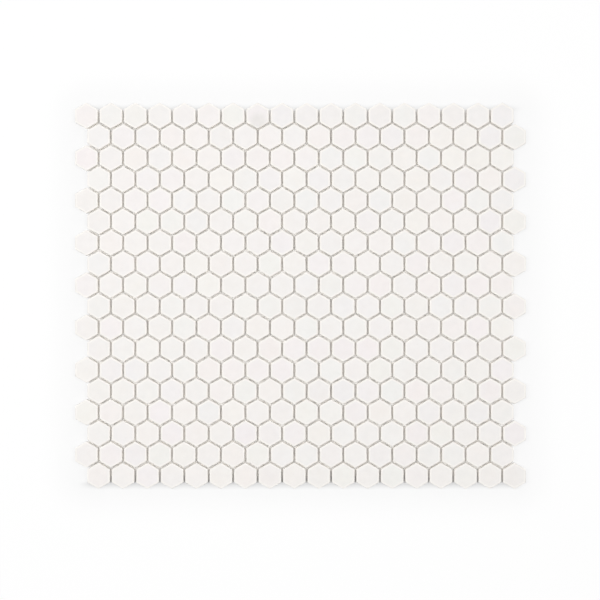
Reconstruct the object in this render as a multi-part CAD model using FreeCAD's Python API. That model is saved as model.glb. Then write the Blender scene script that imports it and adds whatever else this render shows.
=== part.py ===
"""Mosaic floor sheet: small white hexagon tiles held at even joints by an open mesh of glass strands on their backs.

Millimetres. The sheet lies face up. X runs along the rows, Y across them, and Z up out of the tiles' faces.
The origin is the middle of the sheet's outline, on the underside of the mesh.
Row 1 is the row at the +Y edge. Each row is set half a tile sideways from its neighbours, so that the tiles nest.
"""

import FreeCAD, Part
import math
import os

# one tile: a pressed hexagon with two flats facing +X and -X, and an eased edge round its face
TILE_FLATS = 15.4
TILE_THICKNESS = 4.0
EDGE_EASE = 0.5

# how the tiles are set out
JOINT_WIDTH = 1.25
ROWS = 18
TILES_PER_ROW = 18

# the backing mesh: flat strands laid along the rows, and a second layer laid across them, on which the tiles sit
STRAND_SPACING = 5.0
STRAND_WIDTH = 0.9
STRAND_THICKNESS = 0.2
STRAND_TAIL = 2.0  # how far a cut strand stands out past the last strand that crosses it
MESH_SETBACK = 1.5  # the least that the mesh is cut back behind the notched edges of the sheet

SQRT3 = math.sqrt(3)
TILE_CORNER = TILE_FLATS / SQRT3  # centre of a tile to its corners
TILE_PITCH = TILE_FLATS + JOINT_WIDTH  # tile to tile along a row
ROW_PITCH = TILE_PITCH * SQRT3 / 2  # row to row
ROW_SHIFT = TILE_PITCH / 4  # each row's offset from the middle, to the left and right in turn
MESH_THICKNESS = 2 * STRAND_THICKNESS

# how far in the notches of the outline reach: the mesh stays inside them
ROW_END = (TILES_PER_ROW - 1) / 2 * TILE_PITCH - ROW_SHIFT + TILE_FLATS / 2
COLUMN_END = (ROWS - 1) / 2 * ROW_PITCH + TILE_CORNER / 2

PARTS_FOLDER = "parts"


def hexagon(corner_radius):
    """A flat hexagon about the Z axis with its corners up and down the sheet, along Y."""
    corners = []
    for side in range(6):
        turn = math.radians(30 + 60 * side)
        corners.append(FreeCAD.Vector(corner_radius * math.cos(turn), corner_radius * math.sin(turn), 0))
    return Part.Face(Part.makePolygon(corners + corners[:1]))


def pressed_tile():
    """One tile standing on the XY plane: a hexagonal prism whose face has its sharp edge taken off."""
    blank = hexagon(TILE_CORNER).extrude(FreeCAD.Vector(0, 0, TILE_THICKNESS))
    face_edges = [edge for edge in blank.Edges if edge.BoundBox.ZMin > TILE_THICKNESS / 2]
    return blank.makeChamfer(EDGE_EASE, face_edges)


def tile_row(tile, row):
    """The tiles of one row, counted from 0 at the +Y edge, seated on the mesh."""
    side = 1 if row % 2 else -1
    y = ((ROWS - 1) / 2 - row) * ROW_PITCH
    tiles = []
    for place in range(TILES_PER_ROW):
        x = (place - (TILES_PER_ROW - 1) / 2) * TILE_PITCH + side * ROW_SHIFT
        tiles.append(tile.translated(FreeCAD.Vector(x, y, MESH_THICKNESS)))
    return Part.makeCompound(tiles)


def strand_places(half_span):
    """Centres of the strands that cross a span, evenly spaced about its middle, with room for the tails outside them."""
    count = int(2 * (half_span - MESH_SETBACK - STRAND_TAIL) / STRAND_SPACING) + 1
    return [(place - (count - 1) / 2) * STRAND_SPACING for place in range(count)]


def strand_end(crossings):
    """How far a strand reaches from the sheet's middle: a tail past the last of the strands that cross it."""
    return max(crossings) + STRAND_TAIL


def strands_along_rows(places, crossings):
    """The lower layer of the mesh, whose strands run along X."""
    end = strand_end(crossings)
    corner = FreeCAD.Vector(-end, -STRAND_WIDTH / 2, 0)
    strand = Part.makeBox(2 * end, STRAND_WIDTH, STRAND_THICKNESS, corner)
    return Part.makeCompound([strand.translated(FreeCAD.Vector(0, y, 0)) for y in places])


def strands_across_rows(places, crossings):
    """The upper layer of the mesh, whose strands run along Y and carry the tiles."""
    end = strand_end(crossings)
    corner = FreeCAD.Vector(-STRAND_WIDTH / 2, -end, STRAND_THICKNESS)
    strand = Part.makeBox(STRAND_WIDTH, 2 * end, STRAND_THICKNESS, corner)
    return Part.makeCompound([strand.translated(FreeCAD.Vector(x, 0, 0)) for x in places])


def build_sheet():
    """Every node of the sheet, by name."""
    tile = pressed_tile()
    nodes = {f"tile_row_{row + 1:02d}": tile_row(tile, row) for row in range(ROWS)}
    across_x = strand_places(ROW_END)
    along_y = strand_places(COLUMN_END)
    nodes["mesh_strands_along_rows"] = strands_along_rows(along_y, across_x)
    nodes["mesh_strands_across_rows"] = strands_across_rows(across_x, along_y)
    return nodes


def main():
    os.makedirs(PARTS_FOLDER, exist_ok=True)
    for name, shape in build_sheet().items():
        shape.exportStep(os.path.join(PARTS_FOLDER, f"{name}.step"))
        print(f"{name}: {len(shape.Solids)} solids, {shape.Volume / 1000:.2f} cm3")


main()
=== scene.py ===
"""Dresses the mosaic floor sheet: white pressed tiles, the woven glass mesh behind them, and the glue.

Metres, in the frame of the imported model: X along the rows, Y across them, Z up out of the tiles' faces.
Row 1 is the row at the +Y edge, and the camera looks straight down on the sheet.

The tiles, the yarns of the mesh and the dabs of glue are made by Geometry Nodes, from sizes that are read
off the frame. Each is kept as a plain mesh at the origin, takes its node's place, and rides with the sheet.
"""

import logging
import math
from dataclasses import dataclass
from enum import Enum
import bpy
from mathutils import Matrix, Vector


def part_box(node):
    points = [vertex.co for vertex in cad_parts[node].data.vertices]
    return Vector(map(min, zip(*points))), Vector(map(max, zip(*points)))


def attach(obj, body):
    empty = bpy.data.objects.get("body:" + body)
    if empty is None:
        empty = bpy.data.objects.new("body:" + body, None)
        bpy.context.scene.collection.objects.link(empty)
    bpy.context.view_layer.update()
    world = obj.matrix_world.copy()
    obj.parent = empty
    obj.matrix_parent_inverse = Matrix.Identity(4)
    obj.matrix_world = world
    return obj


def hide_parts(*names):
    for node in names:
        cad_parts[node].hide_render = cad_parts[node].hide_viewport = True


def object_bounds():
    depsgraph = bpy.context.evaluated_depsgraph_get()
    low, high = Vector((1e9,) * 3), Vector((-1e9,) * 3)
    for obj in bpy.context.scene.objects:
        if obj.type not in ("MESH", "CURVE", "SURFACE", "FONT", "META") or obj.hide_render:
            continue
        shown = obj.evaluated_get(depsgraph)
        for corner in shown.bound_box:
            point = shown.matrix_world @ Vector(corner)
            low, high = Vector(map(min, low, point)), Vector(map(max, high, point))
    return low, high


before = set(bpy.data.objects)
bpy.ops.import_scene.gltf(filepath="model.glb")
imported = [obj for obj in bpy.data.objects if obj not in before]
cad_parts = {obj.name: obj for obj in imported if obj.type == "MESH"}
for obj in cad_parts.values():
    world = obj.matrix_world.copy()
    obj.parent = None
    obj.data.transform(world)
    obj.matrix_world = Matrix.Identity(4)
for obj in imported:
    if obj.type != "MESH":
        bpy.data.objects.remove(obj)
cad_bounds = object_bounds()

from types import SimpleNamespace
from typing import Any

import bpy
from bpy.types import Material, Node, NodeTree, Object
from bpy.types import NodeSocket as Socket
from mathutils import Vector

MM = 0.001
COS30 = math.cos(math.radians(30))
ROWS = 18
TILES_PER_ROW = 18
SHEET_BODY = "root"
TILE_SLOT = "tile_porcelain"
MESH_SLOT = "backing_mesh"
MESH_ALONG = "mesh_strands_along_rows"
MESH_ACROSS = "mesh_strands_across_rows"
NOISE_RANGE = (0.3, 0.7)  # the low and the high of most of a noise

# values that the tiles' meshes carry for their material
FIRING = "firing"  # how far from the mean a tile came out of the kiln, in red, green and blue
MIDDLE = "tile_middle"  # where the middle of the tile's back is

Colour = tuple[float, float, float]
Span = tuple[float, float]
Feed = Any  # an output socket, a list of them, or a plain value

log = logging.getLogger("mosaic_sheet")


class Port(Enum):
    """The kinds of value that go into a node group or come out of it."""

    GEOMETRY = "NodeSocketGeometry"
    NUMBER = "NodeSocketFloat"
    COUNT = "NodeSocketInt"
    PLACE = "NodeSocketVector"
    COLOUR = "NodeSocketColor"
    MATERIAL = "NodeSocketMaterial"

    @classmethod
    def of(cls, value: Any) -> "Port":
        """Gives the kind of input that a plain value goes into."""
        kinds = {float: cls.NUMBER, int: cls.COUNT, Vector: cls.PLACE, Material: cls.MATERIAL}
        return kinds[type(value)]


class NodePen:
    """Writes the nodes of a tree, each in one call with what feeds it."""

    def __init__(self, tree: NodeTree) -> None:
        """Starts writing in a tree."""
        self.tree = tree

    def node(self, kind: str, *feeds: Feed, **named: Any) -> Node:
        """Adds one node.

        Args:
            kind: the node's type.
            feeds: what goes into its first inputs, in order.
            named: the node's own settings, and what goes into other inputs, by name or identifier. An
                input's name starts with a capital letter, and _ may stand for a blank in it.

        Returns:
            The new node.
        """
        node = self.tree.nodes.new(kind)
        inputs = {name: value for name, value in named.items() if name[0].isupper()}
        for name, value in named.items():
            if name not in inputs:
                setattr(node, name, value)
        for socket, value in zip(node.inputs, feeds):
            self.feed(socket, value)
        for name, value in inputs.items():
            known = {name, name.replace("_", " ")}
            self.feed(next(s for s in node.inputs if s.enabled and known & {s.identifier, s.name}), value)
        return node

    def add(self, kind: str, *feeds: Feed, **named: Any) -> Socket:
        """Adds one node, as node() does, and gives the first of its outputs that is in use."""
        return next(s for s in self.node(kind, *feeds, **named).outputs if s.enabled)

    def feed(self, socket: Socket, value: Feed) -> None:
        """Links an input to one output or to several, or gives it a plain value.

        Args:
            socket: the input.
            value: what goes into it. A colour may come without its alpha.
        """
        for source in value if isinstance(value, list) else [value]:
            if isinstance(source, Socket):
                self.tree.links.new(source, socket)
            elif socket.type == "RGBA" and len(source) == 3:
                socket.default_value = (*source, 1.0)
            else:
                socket.default_value = source

    def sum(self, operation: str, *values: Feed, clamp: bool = False) -> Socket:
        """Adds a sum on numbers, as the Math node names it. A clamped one stays between 0 and 1."""
        return self.add("ShaderNodeMath", *values, operation=operation, use_clamp=clamp)

    def vector_sum(self, operation: str, *vectors: Feed) -> Socket:
        """Adds a sum on vectors or colours, as the Vector Math node names it."""
        return self.add("ShaderNodeVectorMath", *vectors, operation=operation)

    def times(self, first: Feed, second: Feed) -> Socket:
        """Multiplies two numbers."""
        return self.sum("MULTIPLY", first, second)

    def joined(self, x: Feed = 0.0, y: Feed = 0.0, z: Feed = 0.0) -> Socket:
        """Joins three numbers to a vector."""
        return self.add("ShaderNodeCombineXYZ", x, y, z)

    def split(self, vector: Feed) -> tuple[Socket, ...]:
        """Splits a vector into its three numbers."""
        return tuple(self.node("ShaderNodeSeparateXYZ", vector).outputs)

    def ramp(self, value: Feed, low: Feed, high: Feed, at_low: Feed = 0.0, at_high: Feed = 1.0) -> Socket:
        """Eases from one number to another while a value goes from low to high."""
        limits = (low, high, at_low, at_high)
        return self.add("ShaderNodeMapRange", value, *limits, interpolation_type="SMOOTHSTEP")

    def mixed(self, share: Feed, first: Feed, second: Feed) -> Socket:
        """Mixes two colours, by a share from 0 for the first to 1 for the second."""
        return self.add("ShaderNodeMix", Factor_Float=share, A_Color=first, B_Color=second, data_type="RGBA")

    def noise(self, where: Feed, scale: Feed, detail: float = 2.0, output: str = "Fac") -> Socket:
        """Gives a noise about 0.5, with a number of features to the metre."""
        return self.node("ShaderNodeTexNoise", Vector=where, Scale=scale, Detail=detail).outputs[output]

    def looked_at(self) -> Socket:
        """Tells where the camera looks, straight or by way of something shiny or clear.

        Returns:
            1 there, and 0 for soft light.
        """
        path = self.node("ShaderNodeLightPath").outputs
        shown = self.sum("ADD", path["Is Camera Ray"], path["Is Glossy Ray"], clamp=True)
        return self.sum("ADD", shown, path["Is Transmission Ray"], clamp=True)


class GroupPen(NodePen):
    """Writes a node group with named inputs and outputs."""

    KIND = "ShaderNodeTree"

    def __init__(self, name: str, takes: dict[str, Port], gives: dict[str, Port]) -> None:
        """Starts a new group.

        Args:
            name: the group's name.
            takes: the inputs, by name.
            gives: the outputs, by name.
        """
        super().__init__(bpy.data.node_groups.new(name, self.KIND))
        for direction, ports in (("INPUT", takes), ("OUTPUT", gives)):
            for label, port in ports.items():
                self.tree.interface.new_socket(label, in_out=direction, socket_type=port.value)
        self.takes = self.tree.nodes.new("NodeGroupInput").outputs
        self._gives = self.tree.nodes.new("NodeGroupOutput").inputs

    def give(self, name: str, value: Socket) -> None:
        """Sends a value out of the group by one of its outputs."""
        self.tree.links.new(value, self._gives[name])


class ShapePen(GroupPen):
    """Writes a group that makes geometry."""

    KIND = "GeometryNodeTree"

    def __init__(self, name: str, sizes: dict[str, Any]) -> None:
        """Starts a new group that takes sizes of these names and kinds, and gives a mesh."""
        super().__init__(name, {n: Port.of(size) for n, size in sizes.items()}, {"Mesh": Port.GEOMETRY})
        self.sizes = SimpleNamespace(**dict(zip(sizes, self.takes)))

    def place(self) -> Socket:
        """Gives each point's own place."""
        return self.add("GeometryNodeInputPosition")

    def moved(self, shape: Feed, offset: Feed, chosen: Feed = True) -> Socket:
        """Moves the chosen points of a shape."""
        return self.add("GeometryNodeSetPosition", shape, Selection=chosen, Offset=offset)

    def chance(self, low: Feed, high: Feed, draw: int) -> Socket:
        """Draws a number for each element, from the group's seed and the number of the draw."""
        seed = self.sum("ADD", self.sizes.seed, float(draw))
        return self.add("FunctionNodeRandomValue", Min_001=low, Max_001=high, Seed=seed)

    def either_way(self, most: Feed, draw: int) -> Socket:
        """Draws a number for each element that is at most so far from nought, either way."""
        return self.times(self.chance(-1.0, 1.0, draw), most)

    def drift(self, where: Feed, scale: Feed, detail: float, most: Feed) -> Socket:
        """Gives a way to stray sideways that changes softly over the place, by a noise of a scale."""
        east, north, _ = self.split(self.noise(where, scale, detail, "Color"))
        return self.joined(*(self.times(self.sum("SUBTRACT", way, 0.5), most) for way in (east, north)))

    def raised(self, base: Feed, rings: list[tuple[Feed, Feed]], smooth: bool) -> Socket:
        """Raises a flat face through a list of rings, and closes the shape below.

        Args:
            base: the flat face, as wide as the first ring.
            rings: half the width and the height of each ring, from the base up.
            smooth: whether the shape is shaded as if it were rounded.

        Returns:
            The closed shape.
        """
        shape, top = base, True
        for (half, height), (next_half, next_height) in zip(rings, rings[1:]):
            grow = self.sum("DIVIDE", next_half, half)
            rise = self.joined(z=self.sum("SUBTRACT", next_height, height))
            face = {"Selection": top, "Offset_Scale": 0.0, "Individual": False}
            shape, top, _ = self.node("GeometryNodeExtrudeMesh", shape, **face).outputs
            shape = self.moved(shape, rise, top)
            shape = self.add("GeometryNodeScaleElements", shape, Selection=top, Scale=grow)
        below = self.add("GeometryNodeFlipFaces", base)
        both = self.add("GeometryNodeJoinGeometry", [below, shape])
        closed = self.add("GeometryNodeMergeByDistance", both, Distance=0.001 * MM)
        return self.add("GeometryNodeSetShadeSmooth", closed, Shade_Smooth=smooth)

    def kept(self, copies: Feed, name: str, value: Socket) -> Socket:
        """Keeps three numbers on each copy of a shape, under a name that its material reads."""
        kinds = {"data_type": "FLOAT_VECTOR", "domain": "INSTANCE"}
        return self.add("GeometryNodeStoreNamedAttribute", copies, Name=name, Value=value, **kinds)

    def repeated(self, points: Feed, shape: Feed, turn: Feed, size: Feed = (1.0, 1.0, 1.0)) -> Socket:
        """Sets a copy of a shape on each point, turned by angles in radians, and sized."""
        copy = {"Instance": shape, "Rotation": self.add("FunctionNodeEulerToRotation", turn), "Scale": size}
        return self.add("GeometryNodeInstanceOnPoints", points, **copy)

    def realized(self, copies: Feed) -> Socket:
        """Makes copies into real geometry."""
        return self.add("GeometryNodeRealizeInstances", copies)

    def finish(self, copies: Feed) -> NodeTree:
        """Ends the tree: what it made becomes real, gets its material and goes out.

        Args:
            copies: what the tree made.

        Returns:
            The tree, without the inputs that it has no use for.
        """
        real, material = self.realized(copies), self.sizes.material
        self.give("Mesh", self.add("GeometryNodeSetMaterial", real, Material=material))
        for item in list(self.tree.interface.items_tree):
            if item.in_out == "INPUT" and not self.takes[item.name].is_linked:
                self.tree.interface.remove(item)
        return self.tree


def put_in(name: str, data: bpy.types.ID) -> Object:
    """Puts a new object into the scene, for a mesh, a lamp or a camera."""
    bpy.context.scene.collection.objects.link(new := bpy.data.objects.new(name, data))
    return new


def numbers_of(piece: Any) -> dict[str, Any]:
    """Gives the plain numbers among the sizes that a class holds, by name, for a tree's inputs."""
    return {name: value for name, value in vars(piece).items() if isinstance(value, (int, float))}


def made_by_nodes(name: str, tree: NodeTree, sizes: dict[str, Any], slot: str, *nodes: str) -> None:
    """Runs a tree of geometry, sets the mesh on the sheet in place of its nodes, and reports the piece.

    Args:
        name: the new piece's name.
        tree: the tree that makes it.
        sizes: a value for each of the tree's inputs, by name.
        slot: the record's name for what it is made of. It is not used.
        nodes: the nodes that it stands for.
    """
    piece = put_in(name, bpy.data.meshes.new(name))
    modifier = piece.modifiers.new(tree.name, "NODES")
    modifier.node_group = tree
    for item in tree.interface.items_tree:
        if item.in_out == "INPUT":
            modifier[item.identifier] = sizes[item.name]
    depsgraph = bpy.context.evaluated_depsgraph_get()
    made = piece.evaluated_get(depsgraph)
    mesh = bpy.data.meshes.new_from_object(made, preserve_all_data_layers=True, depsgraph=depsgraph)
    piece.modifiers.remove(modifier)
    piece.data = mesh
    mesh.name = name
    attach(piece, SHEET_BODY)
    if nodes:
        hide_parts(*nodes)
    mesh.calc_loop_triangles()
    log.info("%s: %d triangles", name, len(mesh.loop_triangles))


@dataclass(frozen=True)
class SheetSizes:
    """The sizes that several pieces share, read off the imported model."""

    flats: float
    pitch: float
    row_pitch: float
    row_shift: float
    tile_back: float
    tile_face: float

    @classmethod
    def from_frame(cls) -> "SheetSizes":
        """Reads the sizes off the first two rows of tiles.

        Returns:
            The sizes.
        """
        low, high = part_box(row_node(1))
        next_low, next_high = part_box(row_node(2))
        flats = (high.y - low.y) * COS30
        return cls(
            flats=flats,
            pitch=(high.x - low.x - flats) / (TILES_PER_ROW - 1),
            row_pitch=(low.y + high.y - next_low.y - next_high.y) / 2,
            row_shift=(next_low.x - low.x) / 2,
            tile_back=low.z,
            tile_face=high.z,
        )

    def first_tile(self, row: int) -> Vector:
        """Gives the middle of the back of the first tile of a row, counted from 1."""
        low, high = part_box(row_node(row))
        return Vector((low.x + self.flats / 2, (low.y + high.y) / 2, self.tile_back))


def row_node(row: int) -> str:
    """Names the node of a row of tiles, counted from 1."""
    return f"tile_row_{row:02d}"


class Effects:
    """The shader groups that several finishes use, each built once."""

    PIT = (0.22, 0.1)  # how far out a pit has faded, and how far out it is full, as shares of its cell
    PITTED = (0.52, 0.6)  # where the noise says that pits start, and that all of them are there
    PITTED_PARTS = 0.4  # how many features that noise has for each cell of a pit
    CLOUD = (0.32, 0.68)  # where the noise says that a patch starts, and that it is full
    GAP = (0.46, 0.34)  # how low the lines are where a gap's painted shade starts, and where it is full
    DUSTY = (0.4, 0.65)  # where the noise says that a speck starts, and that it is full
    SPECKS_TO_THE_METRE = 900.0

    def __init__(self) -> None:
        """Builds the groups."""
        self.grain = self._grain()
        self.clouds = self._clouds()
        self.filaments = self._filaments()
        self.soiling = self._soiling()

    def _grain(self) -> NodeTree:
        """Builds the fine grain of pressed or cast stuff.

        Returns:
            The group, which gives the grain's height and a mask of pits, scattered over parts of it.
        """
        takes = {"Where": Port.PLACE, "Grain to the Metre": Port.NUMBER, "Pits to the Metre": Port.NUMBER}
        pen = GroupPen("fine_grain", takes, {"Height": Port.NUMBER, "Pits": Port.NUMBER})
        where, grain, cells = (pen.takes[name] for name in takes)
        height = pen.noise(where, grain, detail=3.0)
        from_pit = pen.add("ShaderNodeTexVoronoi", Vector=where, Scale=cells)
        pitted = pen.ramp(pen.noise(where, pen.times(cells, self.PITTED_PARTS)), *self.PITTED)
        pits = pen.times(pen.ramp(from_pit, *self.PIT), pitted)
        pen.give("Height", pen.sum("SUBTRACT", height, pen.times(pits, 0.5)))
        pen.give("Pits", pits)
        return pen.tree

    def _clouds(self) -> NodeTree:
        """Builds broad soft patches.

        Returns:
            The group, which gives the patches as a mask.
        """
        takes = {"Where": Port.PLACE, "Patches to the Metre": Port.NUMBER}
        pen = GroupPen("soft_clouds", takes, {"Cloud": Port.NUMBER})
        spread = pen.noise(pen.takes["Where"], pen.takes["Patches to the Metre"], detail=4.0)
        pen.give("Cloud", pen.ramp(spread, *self.CLOUD))
        return pen.tree

    def _filaments(self) -> NodeTree:
        """Builds the fine lines of the glass filaments in a yarn.

        Returns:
            The group, which gives the lines' height and a mask of the gaps between them, for painted shade.
        """
        takes = {"Where": Port.PLACE, "Across": Port.PLACE}
        gives = {"Height": Port.NUMBER, "Gaps": Port.NUMBER}
        pen = GroupPen("glass_filaments", takes, gives)
        lines = pen.noise(pen.vector_sum("MULTIPLY", *(pen.takes[name] for name in takes)), 1.0)
        pen.give("Height", lines)
        pen.give("Gaps", pen.ramp(lines, *self.GAP))
        return pen.tree

    def _soiling(self) -> NodeTree:
        """Builds the change of colour where fine dust sits.

        Returns:
            The group, which gives a colour with specks of dust on it.
        """
        takes = {"Colour": Port.COLOUR, "Dust": Port.COLOUR, "Where": Port.PLACE, "Amount": Port.NUMBER}
        pen = GroupPen("fine_dust", takes, {"Colour": Port.COLOUR})
        colour, dust, where, amount = (pen.takes[name] for name in takes)
        specks = pen.ramp(pen.noise(where, self.SPECKS_TO_THE_METRE, detail=3.0), *self.DUSTY)
        pen.give("Colour", pen.mixed(pen.sum("MULTIPLY", specks, amount, clamp=True), colour, dust))
        return pen.tree


class MaterialPen(NodePen):
    """Writes a material round one Principled shader."""

    def __init__(self, name: str, **constants: float) -> None:
        """Starts a new material.

        Args:
            name: the material's name.
            constants: the shader's values that are the same all over, as shade() takes them.
        """
        self.material = bpy.data.materials.new(name)
        self.material.use_nodes = True
        super().__init__(self.material.node_tree)
        self.shade(**constants)
        self.where = self.node("ShaderNodeTexCoord").outputs["Object"]

    def shade(self, **feeds: Feed) -> Material:
        """Feeds the shader.

        Args:
            feeds: what goes into it, by name, with _ for the blanks.

        Returns:
            The material.
        """
        for label, value in feeds.items():
            self.feed(self.tree.nodes["Principled BSDF"].inputs[label.replace("_", " ")], value)
        return self.material

    def effect(self, group: NodeTree, **feeds: Feed) -> bpy.types.NodeOutputs:
        """Places a shader group at each point of the piece, and gives its outputs."""
        return self.node("ShaderNodeGroup", node_tree=group, Where=self.where, **feeds).outputs

    def carried(self, name: str) -> Socket:
        """Reads three numbers that the piece's mesh carries."""
        return self.node("ShaderNodeAttribute", attribute_name=name).outputs["Vector"]

    def dress(self, height: Feed, depth: float, strength: float, **feeds: Feed) -> Material:
        """Feeds the shader what changes over the surface.

        Args:
            height: the relief, from 0 to 1.
            depth: how deep the relief is, in metres.
            strength: the share of the relief that shows.
            feeds: the rest, as shade() takes it.

        Returns:
            The material.
        """
        bump = self.add("ShaderNodeBump", Strength=strength, Distance=depth, Height=height)
        return self.shade(Normal=bump, **feeds)


@dataclass(frozen=True)
class HandlingMark:
    """A faint grey smudge that handling left on one tile's face."""

    place: tuple[float, float, float] = (-28.4 * MM, 119.0 * MM, 4.4 * MM)
    reach: float = 7.5 * MM
    core: float = 2.5 * MM  # how far out from its middle the smudge is still at its darkest
    share: float = 0.5
    colour: Colour = (0.76, 0.745, 0.71)
    streaks_to_the_metre: float = 300.0
    streaks: tuple[float, ...] = (0.3, 0.6, 0.75, 1.0)  # a low and a high noise, and the share left at each

    def mask(self, pen: MaterialPen) -> Socket:
        """Writes where the smudge is, broken up by a soft noise.

        Args:
            pen: what writes the smudged material.

        Returns:
            The mask.
        """
        away = pen.vector_sum("DISTANCE", pen.where, self.place)
        patch = pen.ramp(away, self.reach, self.core, 0.0, self.share)
        streaks = pen.noise(pen.where, self.streaks_to_the_metre)
        return pen.times(patch, pen.ramp(streaks, *self.streaks))


@dataclass(frozen=True)
class PorcelainFinish:
    """Matt white porcelain, pressed from fine powder and fired without a glaze."""

    effects: Effects
    flats: float  # how wide a tile is across its flats
    warm: Colour = (0.938, 0.907, 0.882)
    cool: Colour = (0.931, 0.906, 0.887)
    # a painted highlight round the rim of each tile's face, as if its rounded edge caught the light
    rim: Colour = (0.99, 0.961, 0.923)
    pit: Colour = (0.80, 0.77, 0.74)
    body: Colour = (0.928, 0.911, 0.886)  # the walls and the back, which were never rubbed clean
    firing_spread: float = 0.0062  # how much lighter a tile is whose firing is 1 than one whose firing is 0
    mottle: float = 0.024  # how much lighter the lightest patches of a tile are than its darkest ones
    rim_width: Span = (1.6 * MM, 0.85 * MM)  # how far inside a tile's sides its painted highlight ends, and is full
    rim_height: Span = (2.5 * MM, 3.5 * MM)  # how far above a tile's back it starts, and is full
    pit_share: float = 0.35
    wall_slope: Span = (0.3, 0.1)  # how much a surface faces up where it starts to be a wall, and is one
    wall_roughness: float = 0.2  # how much rougher than the face the walls and the back are
    roughness: Span = (0.52, 0.64)  # in the hollows of the grain, and on its tops
    mark: HandlingMark = HandlingMark()

    def material(self) -> Material:
        """Writes the material.

        Returns:
            The material.
        """
        pen = MaterialPen("matt_white_porcelain", Specular_IOR_Level=0.3)
        grain = pen.effect(self.effects.grain, Grain_to_the_Metre=2600.0, Pits_to_the_Metre=700.0)
        cloud = pen.effect(self.effects.clouds, Patches_to_the_Metre=90.0)["Cloud"]
        face = self._fired(pen, pen.mixed(cloud, self.warm, self.cool))
        face = pen.mixed(pen.times(grain["Pits"], self.pit_share), face, self.pit)
        # the painted highlight round each face's rim
        face = pen.mixed(self._rim(pen), face, self.rim)
        face = pen.mixed(self.mark.mask(pen), face, self.mark.colour)
        body = pen.effect(self.effects.soiling, Colour=self.body, Dust=self.pit, Amount=0.1)["Colour"]
        normal = pen.node("ShaderNodeTexCoord").outputs["Normal"]
        unseen = pen.ramp(pen.split(normal)[2], *self.wall_slope)
        roughness = pen.ramp(grain["Height"], *NOISE_RANGE, *self.roughness)
        roughness = pen.sum("ADD", roughness, pen.times(unseen, self.wall_roughness), clamp=True)
        relief = pen.sum("ADD", pen.times(grain["Height"], 0.5), pen.times(cloud, 0.5))
        colour = pen.mixed(unseen, face, body)
        return pen.dress(relief, depth=0.02 * MM, strength=0.5, Base_Color=colour, Roughness=roughness)

    def _fired(self, pen: MaterialPen, colour: Feed) -> Socket:
        """Tints a colour as each tile came out of the kiln, and mottles it.

        Args:
            pen: what writes the material.
            colour: the colour of the mean tile.

        Returns:
            The colour over the tiles.
        """
        patches = pen.effect(self.effects.clouds, Patches_to_the_Metre=185.0)["Cloud"]
        patches = pen.sum("MULTIPLY_ADD", patches, self.mottle, 1 - self.mottle / 2)
        patches, spread = pen.joined(*[patches] * 3), (self.firing_spread,) * 3
        share = pen.vector_sum("MULTIPLY_ADD", pen.carried(FIRING), spread, patches)
        return pen.vector_sum("MULTIPLY", colour, share)

    def _rim(self, pen: MaterialPen) -> Socket:
        """Writes where the pale rim of each tile's face is: a painted highlight, as if its rounded edge
        caught the light.

        Args:
            pen: what writes the material.

        Returns:
            The mask.
        """
        x, y, height = pen.split(pen.vector_sum("SUBTRACT", pen.where, pen.carried(MIDDLE)))
        x, y = pen.sum("ABSOLUTE", x), pen.sum("ABSOLUTE", y)
        slanted = pen.sum("MULTIPLY_ADD", y, COS30, pen.times(x, 0.5))
        inside = pen.sum("SUBTRACT", self.flats / 2, pen.sum("MAXIMUM", x, slanted))
        return pen.times(pen.ramp(inside, *self.rim_width), pen.ramp(height, *self.rim_height))


@dataclass(frozen=True)
class GlassYarnFinish:
    """White glass yarn with a thin dried coat that stiffens it, lined by its filaments."""

    effects: Effects
    name: str
    across: tuple[float, float, float]  # filament lines to the metre of X, Y and Z
    coat: Colour = (0.935, 0.933, 0.925)
    # painted shade in the grooves between the filament lines
    gap: Colour = (0.84, 0.835, 0.815)
    gap_share: float = 0.6
    roughness: Span = (0.6, 0.42)  # in the gaps, and on the lines
    dust: Colour = (0.80, 0.775, 0.74)

    def material(self) -> Material:
        """Writes the material.

        Returns:
            The material.
        """
        pen = MaterialPen(self.name, Specular_IOR_Level=0.4)
        lines = pen.effect(self.effects.filaments, Across=self.across)
        # painted shade in the grooves between the filament lines
        yarn = pen.mixed(pen.times(lines["Gaps"], self.gap_share), self.coat, self.gap)
        colour = pen.effect(self.effects.soiling, Colour=yarn, Dust=self.dust, Amount=0.15)["Colour"]
        height, roughness = lines["Height"], pen.ramp(lines["Height"], *NOISE_RANGE, *self.roughness)
        return pen.dress(height, depth=0.04 * MM, strength=0.7, Base_Color=colour, Roughness=roughness)


@dataclass(frozen=True)
class DriedGlueFinish:
    """Milky glue that has dried thin over the yarns."""

    effects: Effects
    thick: Colour = (0.90, 0.885, 0.85)
    thin: Colour = (0.86, 0.835, 0.785)
    roughness: Span = (0.28, 0.45)  # where it is thin, and where it is thick

    def material(self) -> Material:
        """Writes the material.

        Returns:
            The material.
        """
        pen = MaterialPen("dried_milky_glue", Specular_IOR_Level=0.5)
        cloud = pen.effect(self.effects.clouds, Patches_to_the_Metre=380.0)["Cloud"]
        height = pen.effect(self.effects.grain, Grain_to_the_Metre=1500.0, Pits_to_the_Metre=900.0)["Height"]
        glue = pen.mixed(cloud, self.thin, self.thick)
        colour = pen.effect(self.effects.soiling, Colour=glue, Dust=self.thin, Amount=0.3)["Colour"]
        roughness = pen.ramp(cloud, 0.0, 1.0, *self.roughness)
        return pen.dress(height, depth=0.05 * MM, strength=0.6, Base_Color=colour, Roughness=roughness)


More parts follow.
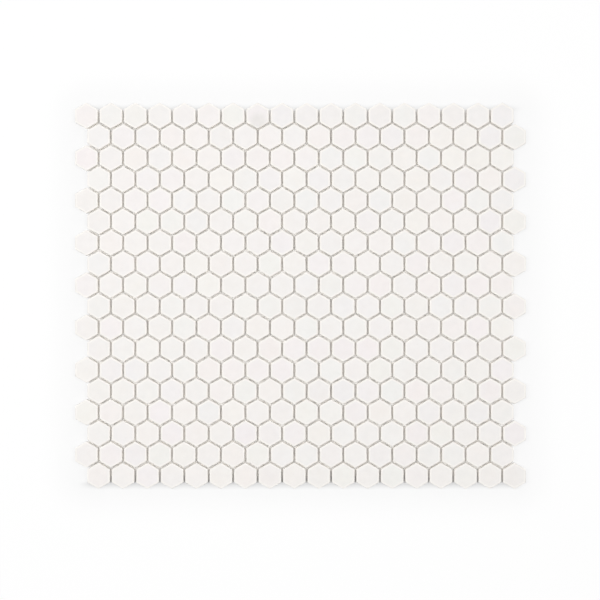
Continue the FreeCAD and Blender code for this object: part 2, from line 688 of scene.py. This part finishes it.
@dataclass
class TileRows:
    """The rows of tiles: hexagons with rounded corners, a rounded edge to the face and a bevelled back."""

    sheet: SheetSizes
    porcelain: Material
    corner_radius: float = 0.6 * MM
    corner_steps: int = 2
    edge_radius: float = 0.4 * MM
    edge_angles: tuple[float, ...] = (0.0, 45.0, 90.0)  # where the rounded edge has its rings, in degrees
    back_bevel: float = 0.25 * MM
    thickness_loss: float = 0.04 * MM  # how much thinner a tile is than its node, so that it can tilt inside
    place_play: float = 0.05 * MM
    turn_play: float = math.radians(0.3)
    tilt_play: float = math.radians(0.12)
    size_play: float = 0.002
    tint_play: float = 1.95  # how far each of a tile's three colours strays, to how far the whole tile does
    seed: int = 400
    draws: int = 10  # how many draws a row makes, so that the next one starts after them

    def build(self) -> None:
        """Makes every row."""
        tree = self._tree()
        for row in range(1, ROWS + 1):
            name = f"hexagon_tiles_row_{row:02d}"
            made_by_nodes(name, tree, self._sizes(row), TILE_SLOT, row_node(row))

    def _sizes(self, row: int) -> dict[str, Any]:
        """Gives the sizes of one row, counted from 1, by name."""
        return numbers_of(self.sheet) | numbers_of(self) | dict(
            thickness=self.sheet.tile_face - self.sheet.tile_back - self.thickness_loss,
            tiles=TILES_PER_ROW,
            first_tile=self.sheet.first_tile(row) + Vector((0, 0, self.thickness_loss / 2)),
            seed=self.seed + self.draws * row,
            material=self.porcelain,
        )

    def _tree(self) -> NodeTree:
        """Writes the tree that sets tiles out in a row, each a little out of place, of true and of tint.

        Returns:
            The tree.
        """
        pen = ShapePen("row_of_tiles", self._sizes(1))
        takes = pen.sizes
        line = {"Start_Location": takes.first_tile, "Offset": pen.joined(x=takes.pitch)}
        points = pen.add("GeometryNodeMeshLine", Count=takes.tiles, **line)
        play = [pen.either_way(takes.place_play, draw) for draw in (0, 1)]
        points = pen.moved(points, pen.joined(*play))
        tilt = [pen.either_way(takes.tilt_play, draw) for draw in (2, 3)]
        turn = pen.joined(*tilt, pen.either_way(takes.turn_play, 4))
        size = pen.sum("ADD", 1.0, pen.either_way(takes.size_play, 5))
        tiles = pen.repeated(points, self._tile(pen), turn, pen.joined(size, size, 1.0))
        tiles = pen.kept(tiles, MIDDLE, pen.place())
        whole = pen.chance(-1.0, 1.0, 6)
        tints = [pen.sum("ADD", whole, pen.either_way(takes.tint_play, draw)) for draw in (7, 8, 9)]
        return pen.finish(pen.kept(tiles, FIRING, pen.joined(*tints)))

    def _tile(self, pen: ShapePen) -> Socket:
        """Makes one tile, with its back on the XY plane and its corners up and down the sheet.

        Args:
            pen: what writes the tree.

        Returns:
            The tile.
        """
        takes = pen.sizes
        half, bevel, edge = pen.times(takes.flats, 0.5), takes.back_bevel, takes.edge_radius
        back = pen.sum("SUBTRACT", half, bevel)
        radius = pen.sum("DIVIDE", back, COS30)
        hexagon = pen.add("GeometryNodeCurvePrimitiveCircle", Resolution=6, Radius=radius)
        turn = (0.0, 0.0, math.radians(30))
        hexagon = pen.add("GeometryNodeTransform", hexagon, Rotation=turn)
        rounding = {"Count": takes.corner_steps, "Radius": takes.corner_radius, "mode": "POLY"}
        rounded = pen.add("GeometryNodeFilletCurve", hexagon, **rounding)
        base = pen.add("GeometryNodeFillCurve", rounded, mode="NGONS")
        wall_top = pen.sum("SUBTRACT", takes.thickness, edge)
        rings = [(back, 0.0), (half, bevel)]
        for angle in map(math.radians, self.edge_angles):
            inset = pen.times(edge, 1 - math.cos(angle))
            height = pen.sum("MULTIPLY_ADD", edge, math.sin(angle), wall_top)
            rings.append((pen.sum("SUBTRACT", half, inset), height))
        return pen.raised(base, rings, smooth=False)


@dataclass
class WovenMesh:
    """The open mesh that holds the sheet: pairs of yarns along the rows that grip flat yarns across them."""

    sheet: SheetSizes
    yarn_along: Material
    yarn_across: Material
    cell: float = 5.0 * MM
    node_strand: float = 0.9 * MM  # how wide the nodes' plain strands are
    yarn_width: float = 0.42 * MM
    yarn_height: float = 0.12 * MM
    swing: float = 0.2 * MM  # how far each yarn of a pair lies to one side where it passes a yarn across
    apart: float = 0.06 * MM  # how far above or below the middle layer it lies where the pair swaps sides
    lift: float = 0.08 * MM  # how much further from the middle layer it lies where it passes a yarn across
    ribbon_width: float = 0.82 * MM
    ribbon_height: float = 0.14 * MM
    pinch: float = 0.16  # the share of its width that a yarn across loses where a pair grips it
    wander: float = 0.35 * MM
    wander_to_the_metre: float = 22.0
    steps_to_a_cell: int = 4
    section_sides: int = 6
    seed: int = 7

    def build(self) -> None:
        """Makes the upper and lower yarns of the pairs, and the yarns across."""
        tree = self._tree()
        layers = (("above", MESH_ALONG, 1), ("below", MESH_ALONG, -1), ("across", MESH_ACROSS, 0))
        for name, node, side in layers:
            made_by_nodes(f"mesh_yarns_{name}", tree, self._sizes(node, side), MESH_SLOT, node)

    def _sizes(self, node: str, side: int) -> dict[str, Any]:
        """Works out the sizes of one layer.

        Args:
            node: the node that the layer stands for.
            side: 1 for the yarns that pass above, -1 for those that pass below, 0 for those in the middle.

        Returns:
            The sizes, by name.
        """
        along = node == MESH_ALONG
        low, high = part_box(node)
        length = (high.x - low.x) if along else (high.y - low.y)
        first = (low.y if along else low.x) + self.node_strand / 2
        next_strand = Vector((0, 1, 0)) if along else Vector((1, 0, 0))
        crossings = self._strands_of(MESH_ACROSS if along else MESH_ALONG)
        return numbers_of(self) | dict(
            length=length,
            points=round(length / self.cell * self.steps_to_a_cell) + 1,
            width=self.yarn_width if side else self.ribbon_width,
            height=self.yarn_height if side else self.ribbon_height,
            swing=side * self.swing,
            middle=self.sheet.tile_back / 2 + side * self.apart,
            lift=side * self.lift,
            pinch=0.0 if side else self.pinch,
            phase=0.0 if crossings % 2 else math.pi,
            strands=self._strands_of(node),
            first_strand=next_strand * first,
            step=next_strand * self.cell,
            turn=0.0 if along else math.pi / 2,
            material=self.yarn_along if along else self.yarn_across,
        )

    def _strands_of(self, node: str) -> int:
        """Counts the strands of a node, from how far they spread."""
        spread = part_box(node)[1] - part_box(node)[0]
        return round(((spread.y if node == MESH_ALONG else spread.x) - self.node_strand) / self.cell) + 1

    def _tree(self) -> NodeTree:
        """Writes the tree that makes one strand along X, repeats it, and lets the whole layer wander.

        Returns:
            The tree.
        """
        pen = ShapePen("woven_strands", self._sizes(MESH_ALONG, 1))
        takes = pen.sizes
        end = pen.times(takes.length, 0.5)
        ends = {"Start": pen.joined(x=pen.times(end, -1.0)), "End": pen.joined(x=end)}
        line = pen.add("GeometryNodeCurvePrimitiveLine", **ends)
        line = pen.add("GeometryNodeResampleCurve", line, Count=takes.points)
        swing = pen.times(pen.sum("COSINE", self._half_turn(pen)), takes.swing)
        height = pen.sum("MULTIPLY_ADD", self._gripped(pen), takes.lift, takes.middle)
        line = pen.moved(line, pen.joined(y=swing, z=height))
        line = pen.add("GeometryNodeSetCurveNormal", line, mode="Z_UP")

        section = pen.add("GeometryNodeCurvePrimitiveCircle", Resolution=takes.section_sides, Radius=0.5)
        size = pen.joined(takes.width, takes.height, 1.0)
        section = pen.add("GeometryNodeTransform", section, Scale=size)
        strand = pen.add("GeometryNodeCurveToMesh", line, Profile_Curve=section, Fill_Caps=True)
        squeeze = pen.times(self._gripped(pen), takes.pinch)
        inward = pen.times(pen.split(pen.place())[1], pen.times(squeeze, -1.0))
        strand = pen.moved(strand, pen.joined(y=inward))
        strand = pen.add("GeometryNodeSetShadeSmooth", strand, Shade_Smooth=True)

        row = {"Start_Location": takes.first_strand, "Offset": takes.step}
        points = pen.add("GeometryNodeMeshLine", Count=takes.strands, **row)
        strands = pen.realized(pen.repeated(points, strand, pen.joined(z=takes.turn)))
        where = pen.vector_sum("ADD", pen.place(), pen.joined(z=takes.seed))
        shift = pen.drift(where, takes.wander_to_the_metre, 2.0, takes.wander)
        return pen.finish(pen.moved(strands, shift))

    @staticmethod
    def _half_turn(pen: ShapePen) -> Socket:
        """Gives an angle that grows along X by half a turn for each cell, from the strand's phase."""
        cells = pen.sum("DIVIDE", pen.split(pen.place())[0], pen.sizes.cell)
        return pen.sum("MULTIPLY_ADD", cells, math.pi, pen.times(pen.sizes.phase, 0.5))

    def _gripped(self, pen: ShapePen) -> Socket:
        """Gives 1 where a strand passes another and 0 half way to the next."""
        return pen.sum("POWER", pen.sum("COSINE", self._half_turn(pen)), 2.0)


@dataclass
class GlueDabs:
    """The dabs of glue that hold the tiles' backs to the mesh."""

    sheet: SheetSizes
    glue: Material
    dabs: int = 3  # how many there are behind each tile
    ring: float = 4.3 * MM  # how far from a tile's middle they sit
    place_play: float = 0.8 * MM
    radius: float = 2.6 * MM
    smallest: float = 0.6  # the smallest dab, as a share of the largest
    sides: int = 12
    depth: float = 0.26 * MM
    dome: tuple[Span, ...] = ((1.0, 0.0), (0.84, 0.7), (0.4, 1.0))  # shares of radius and depth
    in_tile: float = 0.02 * MM  # how far a dab reaches up past the tile's back, to let no light in
    raggedness: float = 2.2 * MM
    raggedness_to_the_metre: float = 330.0
    seed: int = 90

    def build(self) -> None:
        """Makes the dabs, as one piece."""
        height = self.sheet.tile_back + self.in_tile
        own = dict(tiles=TILES_PER_ROW, rows=ROWS, height=height, material=self.glue)
        sizes = numbers_of(self.sheet) | numbers_of(self) | own
        made_by_nodes("glue_dabs", self._tree(sizes), sizes, MESH_SLOT)

    def _tree(self, sizes: dict[str, Any]) -> NodeTree:
        """Writes the tree that sets the dabs out behind the tiles of the whole sheet.

        Args:
            sizes: the sizes that it takes, by name.

        Returns:
            The tree.
        """
        pen = ShapePen("dabs_of_glue", sizes)
        takes = pen.sizes
        trio = pen.add("GeometryNodeMeshCircle", Vertices=takes.dabs, Radius=takes.ring)
        turn = pen.joined(z=pen.chance(0.0, math.tau, 0))
        spots = pen.realized(pen.repeated(self._tile_middles(pen), trio, turn))
        play = [pen.either_way(takes.place_play, draw) for draw in (1, 2)]
        spots = pen.moved(spots, pen.joined(*play))
        size = pen.chance(takes.smallest, 1.0, 3)
        turn = pen.joined(z=pen.chance(0.0, math.tau, 4))
        dabs = pen.repeated(spots, self._dab(pen), turn, pen.joined(size, size, 1.0))
        dabs = pen.realized(dabs)
        shift = pen.drift(pen.place(), takes.raggedness_to_the_metre, 1.0, takes.raggedness)
        return pen.finish(pen.moved(dabs, shift))

    @staticmethod
    def _tile_middles(pen: ShapePen) -> Socket:
        """Sets a point at the middle of each tile, on a grid whose rows are shifted to and fro.

        Args:
            pen: what writes the tree.

        Returns:
            The points.
        """
        takes = pen.sizes
        feeds = {"Vertices_X": takes.tiles, "Vertices_Y": takes.rows}
        feeds["Size_X"] = pen.times(pen.sum("SUBTRACT", takes.tiles, 1.0), takes.pitch)
        feeds["Size_Y"] = pen.times(pen.sum("SUBTRACT", takes.rows, 1.0), takes.row_pitch)
        row = pen.sum("DIVIDE", pen.split(pen.place())[1], takes.row_pitch)
        odd = pen.sum("ROUND", pen.sum("WRAP", pen.sum("ADD", row, 0.5), 2.0, 0.0))
        shift = pen.times(pen.sum("MULTIPLY_ADD", odd, -2.0, 1.0), takes.row_shift)
        grid = pen.add("GeometryNodeMeshGrid", **feeds)
        return pen.moved(grid, pen.joined(x=shift, z=takes.height))

    def _dab(self, pen: ShapePen) -> Socket:
        """Makes one dab, hanging down from the origin: a low dome with a flat top.

        Args:
            pen: what writes the tree.

        Returns:
            The dab.
        """
        radius, depth, sides = (getattr(pen.sizes, name) for name in ("radius", "depth", "sides"))
        base = pen.add("GeometryNodeMeshCircle", Vertices=sides, Radius=radius, fill_type="NGON")
        rings = [(pen.times(radius, across), pen.times(depth, down)) for across, down in self.dome]
        dome = pen.raised(base, rings, smooth=True)
        return pen.add("GeometryNodeTransform", dome, Rotation=(math.pi, 0.0, 0.0))


class Side(Enum):
    """Where a lamp stands round the sheet, as the angle from +X in degrees."""

    RIGHT = 0
    TOP = 90
    LEFT = 177


@dataclass(frozen=True)
class SoftLamp:
    """A round soft lamp that is aimed at the middle of the sheet."""

    side: Side
    elevation: float  # degrees above the floor
    share: float  # the share of all the light on the sheet's faces that comes from it
    distance: float
    size: float

    def build(self, level: float) -> None:
        """Makes the lamp.

        Args:
            level: the light on a flat face from the lamps and the sky, where 1 shows a white face as white.
        """
        azimuth, elevation = math.radians(self.side.value), math.radians(self.elevation)
        outward, rise = math.cos(elevation), math.sin(elevation)
        towards = Vector((math.cos(azimuth) * outward, math.sin(azimuth) * outward, rise))
        lamp = bpy.data.lights.new(f"lamp_{self.side.name.lower()}", "AREA")
        lamp.shape = "DISK"
        lamp.size = self.size
        lamp.energy = self.share * level * math.pi**2 * self.distance**2 / rise
        stand = put_in(lamp.name, lamp)
        stand.location = towards * self.distance
        stand.rotation_euler = towards.to_track_quat("Z", "Y").to_euler()
        stand.visible_camera = False


@dataclass(frozen=True)
class FloorEdge:
    """How the floor looks along the sheet's upper or lower edge, by a line through the outline's notches."""

    out: int  # 1 where Y grows outwards, and -1 where it falls
    opens: Span  # how far out from the line the floor starts to look open, and does so fully
    strip: Span  # its tone under the tiles at the line, a painted shade, and how far in it is back at 1
    shade: Span  # how much dimmer it looks in the notches at the line, and how far out that ends


@dataclass(frozen=True)
class WhiteFloor:
    """The floor: it bounces light as white, and outside the sheet it shows only a part of the shadow."""

    sheet: SheetSizes
    size: float = 8.0
    shadow_share: float = 0.18
    near_glow: float = 0.775  # the rest of its whiteness, just inside the ends of the sheet's outline, dimmer than far out as a painted soft shadow
    far_glow: float = 0.828
    glow_start: float = 10.0 * MM  # how far inside the sheet's box its whiteness starts to grow
    glow_width: float = 38.0 * MM
    edges: tuple[FloorEdge, FloorEdge] = (
        FloorEdge(out=1, opens=(-2.0 * MM, 1.5 * MM), strip=(0.92, 18.0 * MM), shade=(0.12, 4.5 * MM)),
        FloorEdge(out=-1, opens=(-0.5 * MM, 2.0 * MM), strip=(0.7, 9.0 * MM), shade=(0.22, 6.0 * MM)),
    )
    strip_start: float = 1.0 * MM  # how far outside an edge's line its painted shade strip starts
    ends_open: Span = (-1.5 * MM, 0.3 * MM)  # as opens, by the notches at the ends of the rows
    edges_end: float = 4.0 * MM  # how far inside those notches the two edges have their full looks

    def build(self) -> None:
        """Makes the floor."""
        half = self.size / 2
        corners = [(-half, -half, 0), (half, -half, 0), (half, half, 0), (-half, half, 0)]
        mesh = bpy.data.meshes.new("floor")
        mesh.from_pydata(corners, [], [(0, 1, 2, 3)])
        mesh.materials.append(self._material())
        floor = put_in("floor", mesh)

    def _material(self) -> Material:
        """Writes the floor's material, by lines through the notches of the sheet's outline.

        Returns:
            The material.
        """
        low, high = cad_bounds
        pen = MaterialPen("white_floor", Roughness=1.0, Specular_IOR_Level=0.0)
        x, y, _ = pen.split(pen.where)
        aside = pen.sum("ABSOLUTE", x)
        end = high.x - self.sheet.pitch / 2
        notch = self.sheet.flats / COS30 / 4  # the notches are a quarter of a tile deep
        outside = pen.ramp(aside, *(end + away for away in self.ends_open))
        within_ends = pen.ramp(aside, high.x, end - self.edges_end)
        white, glow = 1.0, self._glow(pen, aside, y)
        for edge, limit in zip(self.edges, (high.y, low.y)):
            out, (tone, depth), (dimmer, reach) = edge.out, edge.strip, edge.shade
            line = limit - out * notch
            opened = pen.ramp(y, *(line + out * away for away in edge.opens))
            outside = pen.sum("MAXIMUM", outside, opened)
            # painted shade: the floor under the tiles is darkened in a strip along each edge, and shows in
            # the joints
            strip = pen.times(within_ends, pen.ramp(y, line - out * depth, line))
            strip = pen.times(strip, pen.ramp(y, line + out * self.strip_start, line))
            white = pen.sum("MULTIPLY_ADD", strip, tone - 1.0, white)
            shade = pen.times(opened, pen.ramp(y, line, line + out * reach, dimmer, 0.0))
            glow = pen.sum("SUBTRACT", glow, pen.times(shade, within_ends))
        seen = pen.times(outside, pen.looked_at())
        colour = pen.mixed(seen, pen.joined(white, white, white), (self.shadow_share,) * 3)
        glow = pen.times(seen, glow)
        return pen.shade(Base_Color=colour, Emission_Color=(1, 1, 1), Emission_Strength=glow)

    def _glow(self, pen: MaterialPen, aside: Socket, y: Socket) -> Socket:
        """Writes how bright the open floor is by itself, which grows with the distance from the sheet, so
        that near it there is a painted soft shadow.

        Args:
            pen: what writes the material.
            aside: how far each point is to the left or right of the sheet's middle.
            y: how far up it is.

        Returns:
            The brightness.
        """
        limits = ((aside, cad_bounds[1].x), (pen.sum("ABSOLUTE", y), cad_bounds[1].y))
        beyond = [pen.sum("SUBTRACT", value, limit - self.glow_start) for value, limit in limits]
        away = pen.vector_sum("LENGTH", pen.joined(*(pen.sum("MAXIMUM", n, 0.0) for n in beyond)))
        return pen.ramp(away, 0.0, self.glow_width, self.near_glow, self.far_glow)


@dataclass
class Studio:
    """The floor, the light and the camera: a white floor under soft light, seen from straight above."""

    sheet: SheetSizes
    level: float = 0.9745
    lamps: tuple[SoftLamp, ...] = (
        SoftLamp(Side.LEFT, elevation=61.9, share=0.3, distance=1.2, size=0.4),
        SoftLamp(Side.RIGHT, elevation=61.9, share=0.21, distance=1.25, size=0.42),
        SoftLamp(Side.TOP, elevation=30, share=0.04, distance=0.9, size=0.39),
    )
    near_sky: float = 0.75  # how bright the sky is on the near side, where the mean of the two sides is 1
    sky_turn: float = 0.167  # the sine of the angle to either side of overhead over which it brightens
    sky_rise: float = 0.7  # the sine of the angle above the horizon by which the sky has its full strength
    light_bounces: int = 24  # light goes to and fro in the narrow joints many times
    camera_distance: float = 1.0
    film_width: float = 36.0
    photo_side_px: float = 600.0
    tile_pitch_px: float = 24.474
    sheet_middle_px: Span = (300.46, 295.77)

    def build(self) -> None:
        """Makes the whole studio."""
        WhiteFloor(self.sheet).build()
        self._sky()
        for lamp in self.lamps:
            lamp.build(self.level)
        self._camera()
        scene = bpy.context.scene
        scene.view_settings.view_transform = "Standard"
        scene.cycles.diffuse_bounces = self.light_bounces
        scene.cycles.max_bounces = self.light_bounces

    def _sky(self) -> None:
        """Makes the sky: soft light, more from the far side, and plain white where the camera looks."""
        world = bpy.data.worlds.new("soft_sky")
        world.use_nodes = True
        bpy.context.scene.world = world
        pen = NodePen(world.node_tree)
        _, north, up = pen.split(pen.node("ShaderNodeTexCoord").outputs["Generated"])
        even_share = self.level * (1 - sum(lamp.share for lamp in self.lamps))
        # the dim horizon takes twice the integral of t * (1 - ramp(t)), which is 0.3 of the rise squared
        full = even_share / (1 - 0.3 * self.sky_rise**2)
        light = pen.ramp(north, -self.sky_turn, self.sky_turn, self.near_sky, 2 - self.near_sky)
        light = pen.times(light, pen.ramp(up, 0.0, self.sky_rise, 0.0, full))
        background = world.node_tree.nodes["Background"].inputs
        pen.feed(background["Color"], (1, 1, 1))
        strength = pen.add("ShaderNodeMix", Factor_Float=pen.looked_at(), A_Float=light, B_Float=1.0)
        pen.feed(background["Strength"], strength)

    def _camera(self) -> None:
        """Makes the camera, straight above the point of the sheet at the middle of the photograph."""
        metre_to_px = self.sheet.pitch / self.tile_pitch_px
        middle = self.photo_side_px / 2
        lens = bpy.data.cameras.new("camera")
        lens.sensor_width = self.film_width
        lens.lens = self.film_width * self.camera_distance / (self.photo_side_px * metre_to_px)
        camera = put_in("camera", lens)
        camera.location = (
            (middle - self.sheet_middle_px[0]) * metre_to_px,
            (self.sheet_middle_px[1] - middle) * metre_to_px,
            self.sheet.tile_face + self.camera_distance,
        )
        bpy.context.scene.camera = camera


def main() -> None:
    """Builds the tiles, the mesh, the glue and the studio, in that order."""
    logging.basicConfig(level=logging.INFO, format="%(message)s")
    sheet = SheetSizes.from_frame()
    effects = Effects()
    TileRows(sheet, PorcelainFinish(effects, sheet.flats).material()).build()
    few, many = 500.0, 9000.0  # filament lines to the metre, counted along a yarn and across it
    yarn_along = GlassYarnFinish(effects, "glass_yarn_along", across=(few, many, many))
    yarn_across = GlassYarnFinish(effects, "glass_yarn_across", across=(many, few, many))
    WovenMesh(sheet, yarn_along.material(), yarn_across.material()).build()
    GlueDabs(sheet, DriedGlueFinish(effects).material()).build()
    Studio(sheet).build()


if __name__ == "__main__":
    main()
